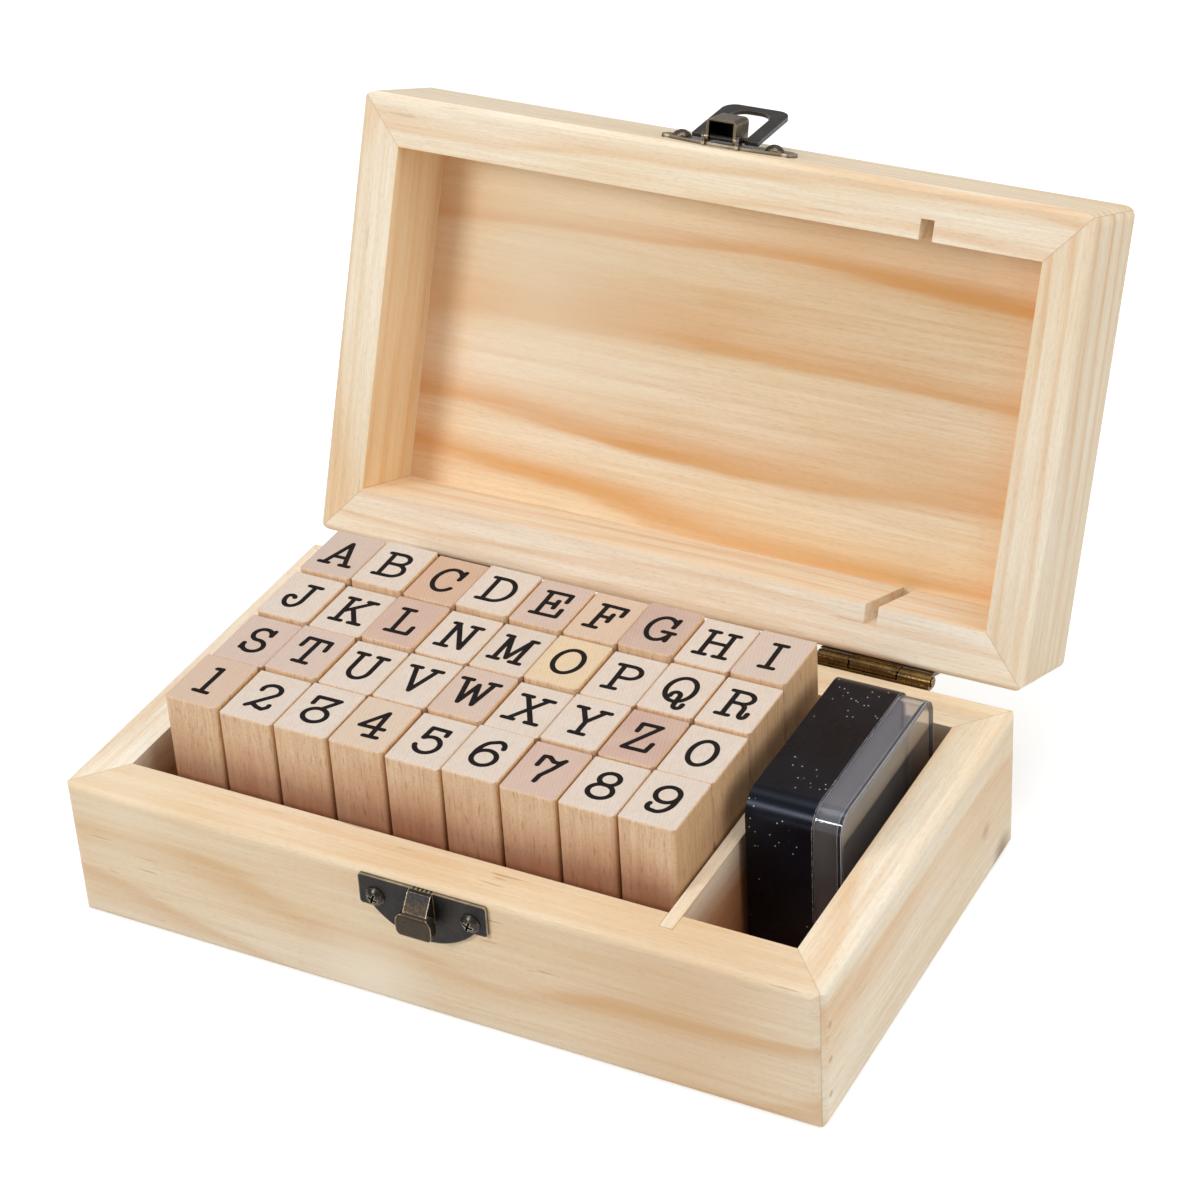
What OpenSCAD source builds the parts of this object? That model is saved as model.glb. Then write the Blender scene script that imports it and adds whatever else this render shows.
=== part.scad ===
// Hinged wooden stamp box with a divider, alphabet and number stamps and an ink pad.
// Millimetres, +Z up, +X right, +Y back. Origin at the centre of the base underside.
// The lid is drawn closed and then turned open about the hinge axis.

/* [Box] */
// Outside width of the box
box_w = 170; // [160:1:200]
// Outside depth of the box
box_d = 100; // [92:1:120]
// Height of the base part
base_h = 33; // [28:1:40]
// Height of the lid part
lid_h = 27; // [24:1:34]
// Thickness of the left and right walls
side_wall = 10; // [8:0.5:11]
// Thickness of the front and back walls
long_wall = 11.3; // [9:0.1:12]
// Rounding of the upright outer edges
edge_r = 3; // [1:0.1:3.5]
// Rounding of the level outer edges
rim_r = 1.6; // [0.8:0.1:2]
// Thickness of the floor panel
floor_t = 4; // [3:0.5:5]
// Thickness of the lid panel
panel_t = 5; // [4:0.5:5.5]
// Width of the rabbet that holds each panel
rabbet = 5; // [4:0.5:6]
// Opening angle of the lid as drawn
lid_angle = 111.5; // [90:0.5:115]

/* [Divider] */
// Thickness of the divider board
divider_t = 2.8; // [2:0.1:3.5]
// Width of the compartment right of the divider
pad_room = 24.05; // [23.8:0.05:24.6]
// Depth of the slots that hold the divider
slot_depth = 4.4; // [3:0.1:5]
// Play of the divider in its slots, both sides together
slot_play = 0.2; // [0.1:0.05:0.4]

/* [Hinges] */
// Distance of the hinge axis behind the back wall
hinge_off = 2; // [2:0.05:2.4]
// Centre of the left hinge
hinge_left_x = -44.7; // [-60:0.1:-30]
// Centre of the right hinge
hinge_right_x = 52.2; // [30:0.1:60]
// Width of a hinge
hinge_w = 25.8; // [22:0.1:28]
// Width of the middle knuckle
knuckle_mid = 11.1; // [9:0.1:12]
// Diameter of the hinge barrel
barrel_d = 3.3; // [3:0.1:3.5]
// Diameter of the hinge pin
hinge_pin_d = 1.6; // [1.2:0.1:1.8]
// Thickness of the hinge leaves
leaf_t = 0.9; // [0.7:0.1:1]
// Height of the hinge leaves
leaf_h = 13; // [11:0.5:15]

/* [Catch] */
// Sideways position of the catch and the latch
latch_x = 0.3; // [-3:0.1:3]
// Width of the catch plate
catch_w = 28.7; // [26:0.1:32]
// Height of the catch plate at its middle
catch_h = 12.5; // [11.5:0.1:14]
// Height of the straight sides of the catch plate
catch_side = 7.2; // [6.5:0.1:8]
// Distance of the catch plate below the rim
catch_drop = 0.9; // [0.8:0.1:1.5]
// Distance of the catch screws below the plate's upper edge
catch_screw_d = 4.7; // [4.4:0.1:5]
// Thickness of the catch plate and the latch plate
plate_t = 0.8; // [0.6:0.1:1]
// Width of the hook lip
lip_w = 8; // [7:0.1:8.2]
// Thickness of the hook lip
lip_t = 2.1; // [1.5:0.1:2.2]
// Corner radius of the hook lip
lip_r = 2; // [1.8:0.1:2.4]
// Upper end of the hook lip below the rim
lip_top = 4.6; // [4.2:0.1:5.2]
// Lower end of the hook lip below the rim
lip_low = 10.3; // [10:0.1:10.4]
// Outward reach of the hook
hook_out = 4.9; // [4.6:0.1:5.2]
// Width of the hook neck
neck_w = 5.2; // [4.5:0.1:5.4]
// Underside of the hook neck below the rim
hook_gap = 8; // [7.4:0.1:8.1]

/* [Latch] */
// Width of the latch plate
latch_w = 30.6; // [28:0.1:32]
// Width of the lever
lever_w = 6.9; // [6:0.1:7]
// Sheet thickness of the lever
lever_t = 0.7; // [0.5:0.05:0.8]
// Tilt of the lever away from the lid
lever_tilt = 7.6; // [4:0.1:9]
// Angle of the ring as drawn, measured from the lid face
ring_angle = 18.8; // [12:0.1:25]
// Length of the ring from its pivot to its end
ring_len = 16.8; // [16.7:0.05:17]
// Outer width of the ring
ring_w = 15.4; // [14.6:0.1:15.8]
// Inner width of the ring
ring_in = 9.1; // [9:0.05:9.4]
// Corner radius of the ring's window
ring_arch = 3.4; // [3:0.1:3.6]
// Width of the ring's end bar
ring_bar = 2.4; // [2:0.1:2.5]
// Sheet thickness of the ring
ring_t = 0.9; // [0.7:0.05:1]

/* [Screws] */
// Diameter of the screw heads on the catch and the latch
head_d = 4.2; // [3.6:0.1:4.4]
// Diameter of the screw heads on the hinges
hinge_head_d = 3.8; // [3.2:0.1:4]
// Diameter of the screw shanks
shank_d = 2; // [1.6:0.1:2.2]
// Length of the screws in the wood
screw_len = 8; // [6:0.5:8]

/* [Stamps] */
// Smallest gap between neighbouring stamps
stamp_gap = 0.2; // [0.2:0.02:0.3]
// Further gap that each row nearer the front has
row_loose = 0.06; // [0:0.01:0.08]
// Gap from the stamps to the divider
stamp_side = 0.45; // [0.3:0.05:0.6]
// Distance from the left wall to the front row
stamp_left = 6.52; // [5:0.01:8]
// Distance from the front wall to the stamps
stamp_front = 5.2; // [3:0.1:7]
// Distance from the back wall to the stamps
stamp_back = 5; // [3:0.1:7]
// Height of a front row stamp with its die
stamp_h = 44.2; // [40:0.1:45]
// Thickness of the rubber die
die_t = 2; // [1.5:0.1:2.5]
// Rounding of the stamp's upright edges
stamp_r = 1; // [0.5:0.1:1.5]
// Rounding of the stamp's top edges
stamp_top_r = 0.5; // [0.3:0.05:0.8]
// Height of each row above the front row, back row first
row_rise = [1.7, 0.7, 0.25, 0]; // [0:0.05:2]
// Difference in height between stamps of a row
stamp_vary = 0.35; // [0:0.05:0.5]

/* [Ink pad] */
// Gap from the divider to the pad case
pad_side = 1.65; // [1.2:0.05:2]
// Thickness of the black case
pad_case_t = 14.2; // [13:0.1:14.4]
// Thickness of the clear cover
pad_cover_t = 5.9; // [5:0.1:6]
// Gap from the back wall to the pad
pad_back = 4.2; // [2:0.1:8]
// Length of the pad
pad_len = 48; // [44:0.5:49]
// Height of the pad standing on its long edge
pad_h = 40.5; // [36:0.5:41.5]
// Corner radius of the pad
pad_r = 5; // [3:0.25:7]
// Wall thickness of the pad case and cover
pad_wall = 1.2; // [0.9:0.1:1.5]
// Step from the case's outline in to the cover's
cover_step = 0.5; // [0.2:0.1:0.8]
// Depth of the cover's lip inside the case
pad_lip = 1.5; // [1:0.1:1.6]

/* [Hidden] */
$fn = 96;
eps = 0.02;
in_x = box_w/2 - side_wall;
in_y = box_d/2 - long_wall;
divider_x = in_x - pad_room - divider_t;
stamp_slack = 8.5*(stamp_gap + 3*row_loose);
stamp_w = (in_x + divider_x - stamp_side - stamp_left - stamp_slack)/9;
stamp_d = (2*in_y - stamp_front - stamp_back - 3*stamp_gap)/4;
pad_x = divider_x + divider_t + pad_side;
pad_y = in_y - pad_back - pad_len;
axis_y = box_d/2 + hinge_off;
barrel_r = barrel_d/2;
pin_r = hinge_pin_d/2;
knuckle_gap = 0.2;
seam = 0.04;
knuckle_out = (hinge_w - knuckle_mid)/2 - knuckle_gap;
rest_notch = barrel_r + 0.2;
lid_in_h = lid_h - panel_t;
hinge_xs = [hinge_left_x, hinge_right_x];
leaf_screw_x = 8;
leaf_screw_z = 8.2;
catch_screw_x = 10.7;
catch_screw_z = base_h - catch_drop - catch_screw_d;
belly_r = 15;
latch_screw_x = 10.8;
latch_screw_d = 7.1;
lever_pin_d = 3.5;
lever_pin_o = 2;
lever_pin_r = 0.6;
ring_piv_d = 5.9;
ring_piv_o = 2;
stub_r = 0.6;
ear_in = lever_w/2 + 0.12;
ear_t = 0.7;
names = "abcdefghijklnmopqrstuvwxyz0123456789";
stamp_nodes = [for (i = [0:35]) str("stamp_", names[i])];

// Turns closed lid geometry to the open position
module opened() {
  translate([0, axis_y, base_h])
    rotate([-lid_angle, 0, 0])
      translate([0, -axis_y, -base_h])
        children();
}

// Flat rectangle with round corners
module round_rect(w, h, r) {
  union() {
    square([w - 2*r, h], center = true);
    square([w, h - 2*r], center = true);
    for (x = [-1, 1])
      for (y = [-1, 1])
        translate([x*(w/2 - r), y*(h/2 - r)])
          circle(r);
  }
}

// Flat rectangle that is round at its two upper corners
module top_round(w, h, r) {
  union() {
    translate([-w/2, -h/2])
      square([w, h - r]);
    translate([-w/2 + r, -h/2])
      square([w - 2*r, h]);
    for (x = [-1, 1])
      translate([x*(w/2 - r), h/2 - r])
        circle(r);
  }
}

// Block with all its outer edges rounded, from z0 upward
module soft_block(z0, h) {
  translate([0, 0, z0 + h/2])
    intersection() {
      translate([0, 0, -h/2])
        linear_extrude(h)
          round_rect(box_w, box_d, edge_r);
      rotate([90, 0, 0])
        translate([0, 0, -box_d/2])
          linear_extrude(box_d)
            round_rect(box_w, h, rim_r);
      rotate([90, 0, 90])
        translate([0, 0, -box_w/2])
          linear_extrude(box_w)
            round_rect(box_d, h, rim_r);
    }
}

// Mitred wall prisms of the frame
module front_prism(z0, h) {
  translate([0, 0, z0])
    linear_extrude(h)
      polygon([[-box_w/2, -box_d/2], [box_w/2, -box_d/2], [in_x, -in_y], [-in_x, -in_y]]);
}

module back_prism(z0, h) {
  translate([0, 0, z0])
    linear_extrude(h)
      polygon([[-box_w/2, box_d/2], [-in_x, in_y], [in_x, in_y], [box_w/2, box_d/2]]);
}

module left_prism(z0, h) {
  translate([0, 0, z0])
    linear_extrude(h)
      polygon([[-box_w/2, -box_d/2], [-in_x, -in_y], [-in_x, in_y], [-box_w/2, box_d/2]]);
}

module right_prism(z0, h) {
  translate([0, 0, z0])
    linear_extrude(h)
      polygon([[box_w/2, -box_d/2], [box_w/2, box_d/2], [in_x, in_y], [in_x, -in_y]]);
}

// Panel and the recess that takes it
module panel_box(z0, h, play) {
  px = in_x + rabbet - play;
  py = in_y + rabbet - play;
  translate([-px, -py, z0])
    cube([2*px, 2*py, h]);
}

// Room for the divider board in the front and back walls
module slot_cut(z0, h) {
  ys = in_y + slot_depth;
  translate([divider_x - slot_play/2, -ys, z0])
    cube([divider_t + slot_play, 2*ys, h]);
}

// Hole for a screw shank, going into the wood along +Y
module pilot(x, y, z, way) {
  translate([x, y, z])
    rotate([way*-90, 0, 0])
      cylinder(r = shank_d/2 + 0.05, h = screw_len + 0.3);
}

// Screw with a domed cross head, its head at y and its shank along way
module wood_screw(x, y, z, way, hd, t) {
  hr = hd/2;
  dome = 1.1;
  sr = (hr*hr + dome*dome)/(2*dome);
  translate([x, y, z])
    rotate([way*-90, 0, 0])
      difference() {
        union() {
          translate([0, 0, -0.3])
            cylinder(r = hr, h = 0.3);
          intersection() {
            translate([0, 0, -0.3 - dome])
              cylinder(r = hr, h = dome);
            translate([0, 0, sr - 0.3 - dome])
              sphere(sr);
          }
          cylinder(r = shank_d/2, h = t + screw_len - 1.4);
          translate([0, 0, t + screw_len - 1.4])
            cylinder(r1 = shank_d/2, r2 = 0.3, h = 1.4);
        }
        for (a = [0, 90])
          rotate([0, 0, a + 20])
            translate([-1.1, -0.25, -2])
              cube([2.2, 0.5, 1.2]);
      }
}

// Base frame
module front_wall() {
  color("wheat")
    difference() {
      intersection() {
        soft_block(0, base_h);
        front_prism(0, base_h);
      }
      panel_box(-1, floor_t + 1, 0);
      slot_cut(floor_t - eps, base_h);
      for (s = [-1, 1])
        pilot(latch_x + s*catch_screw_x, -box_d/2 - 0.1, catch_screw_z, 1);
    }
}

module back_wall() {
  color("wheat")
    difference() {
      intersection() {
        soft_block(0, base_h);
        back_prism(0, base_h);
      }
      panel_box(-1, floor_t + 1, 0);
      slot_cut(floor_t - eps, base_h);
      for (hx = hinge_xs)
        for (s = [-1, 1])
          pilot(hx + s*leaf_screw_x, box_d/2 + 0.1, base_h - leaf_screw_z, -1);
    }
}

module left_wall() {
  color("wheat")
    difference() {
      intersection() {
        soft_block(0, base_h);
        left_prism(0, base_h);
      }
      panel_box(-1, floor_t + 1, 0);
    }
}

module right_wall() {
  color("wheat")
    difference() {
      intersection() {
        soft_block(0, base_h);
        right_prism(0, base_h);
      }
      panel_box(-1, floor_t + 1, 0);
    }
}

module floor_panel() {
  color("burlywood")
    panel_box(0, floor_t, 0.1);
}

module divider() {
  yd = in_y + slot_depth - 0.15;
  color("wheat")
    translate([divider_x, -yd, floor_t])
      cube([divider_t, 2*yd, base_h - floor_t]);
}

// Lid frame
module lid_front_rail() {
  color("wheat")
    opened()
      difference() {
        intersection() {
          soft_block(base_h + seam, lid_h - seam);
          front_prism(base_h, lid_h);
        }
        panel_box(base_h + lid_in_h, panel_t + 1, 0);
        slot_cut(base_h - 1, lid_in_h + 1 + eps);
        for (s = [-1, 1])
          pilot(latch_x + s*latch_screw_x, -box_d/2 - 0.1, base_h + latch_screw_d, 1);
      }
}

module lid_back_rail() {
  color("wheat")
    opened()
      difference() {
        intersection() {
          soft_block(base_h + seam, lid_h - seam);
          back_prism(base_h, lid_h);
        }
        panel_box(base_h + lid_in_h, panel_t + 1, 0);
        slot_cut(base_h - 1, lid_in_h + 1 + eps);
        for (hx = hinge_xs)
          for (s = [-1, 1])
            pilot(hx + s*leaf_screw_x, box_d/2 + 0.1, base_h + leaf_screw_z, -1);
      }
}

module lid_left_rail() {
  color("wheat")
    opened()
      difference() {
        intersection() {
          soft_block(base_h + seam, lid_h - seam);
          left_prism(base_h, lid_h);
        }
        panel_box(base_h + lid_in_h, panel_t + 1, 0);
      }
}

module lid_right_rail() {
  color("wheat")
    opened()
      difference() {
        intersection() {
          soft_block(base_h + seam, lid_h - seam);
          right_prism(base_h, lid_h);
        }
        panel_box(base_h + lid_in_h, panel_t + 1, 0);
      }
}

module lid_panel() {
  color("burlywood")
    opened()
      panel_box(base_h + lid_in_h, panel_t, 0.1);
}

// Round bar along X about the hinge axis
module axis_bar(x0, x1, r) {
  translate([x0, axis_y, base_h])
    rotate([0, 90, 0])
      cylinder(r = r, h = x1 - x0);
}

// One leaf of a hinge on the base, way = -1, or on the lid, way = 1
module leaf(hx, way) {
  z0 = way < 0 ? base_h - leaf_h : base_h + 0.1;
  difference() {
    translate([hx - hinge_w/2, box_d/2, z0])
      cube([hinge_w, leaf_t, leaf_h - 0.1]);
    for (s = [-1, 1])
      translate([hx + s*leaf_screw_x, box_d/2 - 1, base_h + way*leaf_screw_z])
        rotate([-90, 0, 0])
          cylinder(r = shank_d/2 + 0.1, h = 4);
  }
}

module hinge_base_leaves() {
  color("saddlebrown")
    for (hx = hinge_xs)
      difference() {
        union() {
          leaf(hx, -1);
          axis_bar(hx - hinge_w/2, hx - hinge_w/2 + knuckle_out, barrel_r);
          axis_bar(hx + hinge_w/2 - knuckle_out, hx + hinge_w/2, barrel_r);
        }
        axis_bar(hx - hinge_w/2 - 1, hx + hinge_w/2 + 1, pin_r + 0.05);
        axis_bar(hx - hinge_w/2 + knuckle_out, hx + hinge_w/2 - knuckle_out, rest_notch);
      }
}

module hinge_lid_leaves() {
  color("saddlebrown")
    opened()
      for (hx = hinge_xs)
        difference() {
          union() {
            leaf(hx, 1);
            axis_bar(hx - knuckle_mid/2, hx + knuckle_mid/2, barrel_r);
          }
          axis_bar(hx - hinge_w/2 - 1, hx + hinge_w/2 + 1, pin_r + 0.05);
          axis_bar(hx - hinge_w/2 - 1, hx - knuckle_mid/2, rest_notch);
          axis_bar(hx + knuckle_mid/2, hx + hinge_w/2 + 1, rest_notch);
        }
}

module hinge_pins() {
  color("peru")
    for (hx = hinge_xs) {
      axis_bar(hx - hinge_w/2 - 0.3, hx + hinge_w/2 + 0.3, pin_r);
      for (s = [-1, 1])
        axis_bar(hx + s*(hinge_w/2 + 0.2) - 0.15, hx + s*(hinge_w/2 + 0.2) + 0.15, pin_r + 0.3);
    }
}

// Moves to the catch, o outward along local Y and d upward along local Z
module at_latch() {
  translate([latch_x, -box_d/2, base_h])
    children();
}

// Plain box by its corner values, o measured outward
module slab(x0, x1, o0, o1, d0, d1) {
  translate([x0, -o1, d0])
    cube([x1 - x0, o1 - o0, d1 - d0]);
}

// Round bar along X at outward distance o and height d
module cross_bar(x0, x1, o, d, r) {
  translate([x0, -o, d])
    rotate([0, 90, 0])
      cylinder(r = r, h = x1 - x0);
}

module catch_outline() {
  union() {
    translate([0, -catch_drop - catch_side/2])
      round_rect(catch_w, catch_side, 0.7);
    intersection() {
      translate([0, -catch_drop - catch_h + belly_r])
        circle(belly_r);
      translate([-catch_w/2, -catch_drop - catch_h - 1])
        square([catch_w, catch_h - catch_side/2 + 1]);
    }
  }
}

// Side shape of the hook's neck, outward distance first
module neck_side() {
  lip_mid = hook_out - lip_t/2;
  polygon([[plate_t/2, -catch_drop], [2*plate_t, -catch_drop - 0.3],
    [lip_mid + 0.3, -lip_top - 0.2], [lip_mid, -hook_gap], [plate_t/2, -hook_gap]]);
}

// Side shape of the hook's lip
module lip_side() {
  translate([hook_out - lip_t/2, -(lip_top + lip_low)/2])
    round_rect(lip_t, lip_low - lip_top, lip_t/2 - 0.1);
}

// Flat side shape pulled to a width along X
module pulled(w) {
  translate([w/2, 0, 0])
    rotate([90, 0, -90])
      linear_extrude(w)
        children();
}

module catch_plate() {
  color("dimgray")
    at_latch()
      difference() {
        union() {
          rotate([90, 0, 0])
            linear_extrude(plate_t)
              catch_outline();
          pulled(neck_w)
            neck_side();
          intersection() {
            pulled(lip_w)
              lip_side();
            rotate([90, 0, 0])
              linear_extrude(hook_out + 1)
                translate([0, -(lip_low + lip_top)/2])
                  round_rect(lip_w, lip_low - lip_top, lip_r);
          }
        }
        for (s = [-1, 1])
          translate([s*catch_screw_x, 1, -catch_drop - catch_screw_d])
            rotate([90, 0, 0])
              cylinder(r = shank_d/2 + 0.1, h = 4);
      }
}

module latch_outline() {
  near = 3;
  far = 11;
  rn = 36;
  intersection() {
    translate([0, near + rn])
      circle(rn);
    translate([-latch_w/2 + 1.6, 0])
      square([latch_w - 3.2, far]);
  }
  for (s = [-1, 1])
    translate([s*(latch_w/2 - 1.6), (near + far)/2 + 0.7])
      round_rect(3.2, far - near - 3.4, 1.2);
}

// Plate on the lid with two ears for the lever pin
module latch_plate() {
  color("dimgray")
    opened()
      at_latch()
        difference() {
          union() {
            rotate([90, 0, 0])
              linear_extrude(plate_t)
                latch_outline();
            for (s = [-1, 1]) {
              xa = s > 0 ? ear_in : -ear_in - ear_t;
              slab(xa, xa + ear_t, 0.2, lever_pin_o, lever_pin_d - 1.1, lever_pin_d + 1.1);
              cross_bar(xa, xa + ear_t, lever_pin_o, lever_pin_d, 1.1);
            }
          }
          cross_bar(-9, 9, lever_pin_o, lever_pin_d, lever_pin_r + 0.05);
          for (s = [-1, 1])
            translate([s*latch_screw_x, 1, latch_screw_d])
              rotate([90, 0, 0])
                cylinder(r = shank_d/2 + 0.1, h = 4);
        }
}

// Side shape of the lever about its pin, outward distance first
module lever_side() {
  union() {
    circle(1.05);
    translate([0, -0.9])
      square([4.1, 6.5]);
    translate([-1.05, 0])
      square([2, 5.6]);
  }
}

module latch_lever() {
  hw = lever_w/2;
  color("dimgray")
    opened()
      at_latch()
        difference() {
          translate([0, -lever_pin_o, lever_pin_d])
            rotate([lever_tilt, 0, 0])
              difference() {
                intersection() {
                  pulled(lever_w)
                    lever_side();
                  rotate([180, 0, 0])
                    translate([0, 4.1 - 10/2, -10])
                      linear_extrude(20)
                        top_round(lever_w, 10, 1.1);
                }
                translate([-hw + lever_t, -4.1 + lever_t, -2])
                  cube([lever_w - 2*lever_t, 8, 2 + 5.6 - lever_t]);
              }
          cross_bar(-9, 9, lever_pin_o, lever_pin_d, lever_pin_r);
          cross_bar(-9, 9, ring_piv_o, ring_piv_d, stub_r + 0.05);
        }
}

module latch_pin() {
  xe = ear_in + ear_t + 0.1;
  color("gray")
    opened()
      at_latch()
        cross_bar(-xe, xe, lever_pin_o, lever_pin_d, lever_pin_r);
}

// Ring sheet in its own plane, length upward
module ring_outline() {
  win_end = ring_len - ring_bar;
  difference() {
    union() {
      translate([-ring_w/2, -0.95])
        square([ring_w, ring_len + 0.95 - 3]);
      translate([-ring_w/2 + 3, 0])
        square([ring_w - 6, ring_len]);
      for (s = [-1, 1])
        translate([s*(ring_w/2 - 3), ring_len - 3])
          circle(3);
    }
    translate([0, win_end/2 - 1])
      top_round(ring_in, win_end + 2, ring_arch);
  }
}

module latch_ring() {
  color("gray")
    opened()
      at_latch()
        translate([0, -ring_piv_o, ring_piv_d])
          rotate([ring_angle, 0, 0]) {
            rotate([90, 0, 0])
              translate([0, 0, -ring_t/2])
                linear_extrude(ring_t)
                  ring_outline();
            for (s = [-1, 1])
              translate([s > 0 ? lever_w/2 - 0.8 : -ring_in/2 - 0.5, 0, 0])
                rotate([0, 90, 0])
                  cylinder(r = stub_r, h = ring_in/2 + 0.5 - lever_w/2 + 0.8);
          }
}

module base_screws() {
  color("gray") {
    for (s = [-1, 1])
      wood_screw(latch_x + s*catch_screw_x, -box_d/2 - plate_t, catch_screw_z, 1, head_d, plate_t);
    for (hx = hinge_xs)
      for (s = [-1, 1])
        wood_screw(hx + s*leaf_screw_x, box_d/2 + leaf_t, base_h - leaf_screw_z,
          -1, hinge_head_d, leaf_t);
  }
}

module lid_screws() {
  zl = base_h + latch_screw_d;
  color("gray")
    opened() {
      for (s = [-1, 1])
        wood_screw(latch_x + s*latch_screw_x, -box_d/2 - plate_t, zl, 1, head_d, plate_t);
      for (hx = hinge_xs)
        for (s = [-1, 1])
          wood_screw(hx + s*leaf_screw_x, box_d/2 + leaf_t, base_h + leaf_screw_z,
            -1, hinge_head_d, leaf_t);
    }
}

// Block of the pad's outline between two X values, smaller by inset
module pad_block(x0, x1, inset) {
  translate([x0, pad_y + pad_len/2, floor_t + pad_h/2])
    rotate([90, 0, 90])
      linear_extrude(x1 - x0)
        round_rect(pad_len - 2*inset, pad_h - 2*inset, pad_r - inset);
}

module pad_case() {
  x1 = pad_x + pad_case_t;
  color("black")
    difference() {
      pad_block(pad_x, x1, 0);
      pad_block(pad_x + pad_wall, x1 + 1, pad_wall);
    }
}

module pad_felt() {
  color("darkslateblue")
    pad_block(pad_x + pad_wall, pad_x + pad_case_t - 0.4, pad_wall + 1.2);
}

module pad_cover() {
  x1 = pad_x + pad_case_t;
  x2 = x1 + pad_cover_t;
  color("lightgray", 0.4)
    difference() {
      union() {
        pad_block(x1 + 0.05, x2, cover_step);
        pad_block(x1 - pad_lip, x1 + 0.2, pad_wall + 0.05);
      }
      pad_block(x1 - pad_lip - 1, x2 - pad_wall, pad_wall + 0.95);
    }
}

// Stamp number i, counted row by row from the back
module one_stamp(i) {
  col = i % 9;
  row = floor(i/9);
  px = stamp_w + stamp_gap + row*row_loose;
  py = stamp_d + stamp_gap;
  xc = divider_x - stamp_side - (8.5 - col)*px;
  yc = -in_y + stamp_front + (3.5 - row)*py;
  zb = floor_t + die_t + 0.1;
  h = stamp_h - die_t - 0.1 + row_rise[row] + stamp_vary*sin(i*137);
  rt = stamp_top_r;
  color("mediumpurple")
    translate([xc, yc, floor_t])
      linear_extrude(die_t)
        round_rect(stamp_w - 1, stamp_d - 1, stamp_r);
  color("bisque")
    translate([xc, yc, zb])
      intersection() {
        linear_extrude(h)
          round_rect(stamp_w, stamp_d, stamp_r);
        rotate([90, 0, 0])
          translate([0, h/2 - rt, -stamp_d/2])
            linear_extrude(stamp_d)
              top_round(stamp_w, h + 2*rt, rt);
        rotate([90, 0, 90])
          translate([0, h/2 - rt, -stamp_w/2])
            linear_extrude(stamp_w)
              top_round(stamp_d, h + 2*rt, rt);
      }
}

front_wall();
back_wall();
left_wall();
right_wall();
floor_panel();
divider();
lid_front_rail();
lid_back_rail();
lid_left_rail();
lid_right_rail();
lid_panel();
hinge_base_leaves();
hinge_lid_leaves();
hinge_pins();
catch_plate();
latch_plate();
latch_lever();
latch_ring();
latch_pin();
base_screws();
lid_screws();
pad_case();
pad_felt();
pad_cover();
for (i = [0:35])
  one_stamp(i);
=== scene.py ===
"""Looks of the stamp box: wood, printed characters, aged metal, plastic, floor, light and camera.

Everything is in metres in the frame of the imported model: +X right, +Y back, +Z up.
"""

import math

import bmesh
import bpy
from mathutils import Matrix, Vector

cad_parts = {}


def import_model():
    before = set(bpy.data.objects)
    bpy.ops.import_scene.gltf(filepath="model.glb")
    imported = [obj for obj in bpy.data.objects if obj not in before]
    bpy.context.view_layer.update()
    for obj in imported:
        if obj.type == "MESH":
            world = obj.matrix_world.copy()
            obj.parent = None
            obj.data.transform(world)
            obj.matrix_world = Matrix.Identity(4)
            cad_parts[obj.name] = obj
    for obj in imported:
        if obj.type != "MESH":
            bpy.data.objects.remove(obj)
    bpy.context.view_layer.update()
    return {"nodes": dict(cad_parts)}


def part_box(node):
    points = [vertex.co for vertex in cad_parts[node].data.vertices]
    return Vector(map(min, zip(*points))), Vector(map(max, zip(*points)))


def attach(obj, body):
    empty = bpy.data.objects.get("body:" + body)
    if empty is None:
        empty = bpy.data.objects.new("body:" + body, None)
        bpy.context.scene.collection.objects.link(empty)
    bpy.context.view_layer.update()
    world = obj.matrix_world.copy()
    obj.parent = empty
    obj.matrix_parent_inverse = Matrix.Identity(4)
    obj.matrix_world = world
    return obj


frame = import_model()
NODES = frame["nodes"]

MM = 0.001

# Box: half its outside width and depth, the thickness of its side and long walls, and the
# heights of the base and of the closed box.
HALF_W = 85 * MM
HALF_D = 50 * MM
SIDE_WALL = 10 * MM
LONG_WALL = 11.3 * MM
BASE_H = 33 * MM
BOX_H = 60 * MM

# The open lid: its axis, and the angle from closed to the pose of the photograph.
LID_ANGLE = math.radians(111.5)
HINGE_Y = 52 * MM
HINGE_Z = BASE_H

# Order of the stamps, row by row from the back, nine to a row.
STAMP_ORDER = "ABCDEFGHIJKLNMOPQRSTUVWXYZ0123456789"


# Node helpers

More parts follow.
